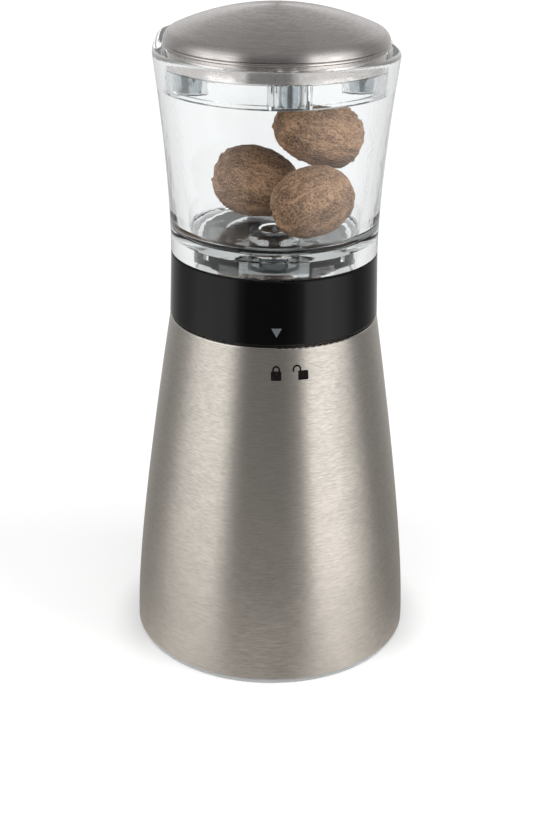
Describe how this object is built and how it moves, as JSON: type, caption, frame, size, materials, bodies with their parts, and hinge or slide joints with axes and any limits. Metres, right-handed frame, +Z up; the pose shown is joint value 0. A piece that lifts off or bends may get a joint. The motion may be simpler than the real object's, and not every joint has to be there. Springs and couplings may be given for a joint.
{
  "type": "nutmeg grater",
  "caption": "Upright nutmeg grater: flared brushed steel body, black locking collar, clear hopper of nutmegs turned by hand above a sprung claw plunger and grater disc, domed steel lid.",
  "frame": {"origin": "centre of the foot ring's underside, on the table", "axes": "+Z up along the axis, -Y the front with the collar's pointer, +X to the right seen from the front"},
  "size_m": [0.0694, 0.0694, 0.1595],
  "materials": {
    "brushed_steel": "satin, brushed round the axis",
    "pale_translucent_plastic": "smooth, slightly milky",
    "gloss_black_plastic": "high gloss",
    "black_plastic": "fine moulded texture",
    "grey_plastic": "fine moulded texture",
    "clear_acrylic": "clear, polished",
    "cutting_steel": "ground",
    "bright_fasteners": "bright",
    "nickel_magnets": "bright nickel",
    "bush_brass": "turned",
    "spring_wire": "drawn wire",
    "nutmeg": "dry, veined"
  },
  "bodies": {
    "base": {"foot_ring": "pale_translucent_plastic", "steel_sleeve": "brushed_steel", "base_frame": "black_plastic", "frame_screws": "bright_fasteners", "grater_disc": "cutting_steel", "grater_blades": "cutting_steel", "blade_rivets": "cutting_steel", "chamber_tube": "grey_plastic", "neck_ring": "black_plastic", "neck_screws": "bright_fasteners"},
    "carrier": {"carrier": "black_plastic", "carrier_bush": "bush_brass", "thrust_washer": "cutting_steel"},
    "collar": {"locking_collar": "gloss_black_plastic", "grip_ring": "black_plastic"},
    "head": {"hopper": "clear_acrylic", "hub_screw": "bright_fasteners", "hub_washer": "bright_fasteners", "drive_adaptor": "gloss_black_plastic", "drive_tube": "cutting_steel", "retaining_clip": "bright_fasteners", "tube_end_cap": "cutting_steel", "magnet_ring": "clear_acrylic", "lid_magnets": "nickel_magnets", "nutmeg_left": "nutmeg", "nutmeg_front": "nutmeg", "nutmeg_top": "nutmeg"},
    "plunger": {"plunger_rod": "cutting_steel", "claw_plate": "black_plastic", "claws": "cutting_steel", "claw_screw": "bright_fasteners", "plunger_spring": "spring_wire"},
    "lid": {"lid_dome": "brushed_steel", "lid_plate": "brushed_steel"}
  },
  "joints": [
    {"name": "top_lift", "type": "slide", "parent": "base", "child": "carrier", "axis": [0, 0, 1], "range_m": [0, 0.08]},
    {"name": "lock_twist", "type": "hinge", "parent": "carrier", "child": "collar", "pos_m": [0, 0, 0.094], "axis": [0, 0, 1], "range_deg": [0, 14]},
    {"name": "head_turn", "type": "hinge", "parent": "carrier", "child": "head", "pos_m": [0, 0, 0.094], "axis": [0, 0, 1], "continuous": true},
    {"name": "plunger_slide", "type": "slide", "parent": "head", "child": "plunger", "axis": [0, 0, 1], "range_m": [0, 0.02], "stiffness_N_per_m": 250, "springref_m": -0.02, "deforming": ["plunger_spring"]},
    {"name": "lid_lift", "type": "slide", "parent": "head", "child": "lid", "axis": [0, 0, 1], "range_m": [0, 0.04]}
  ]
}
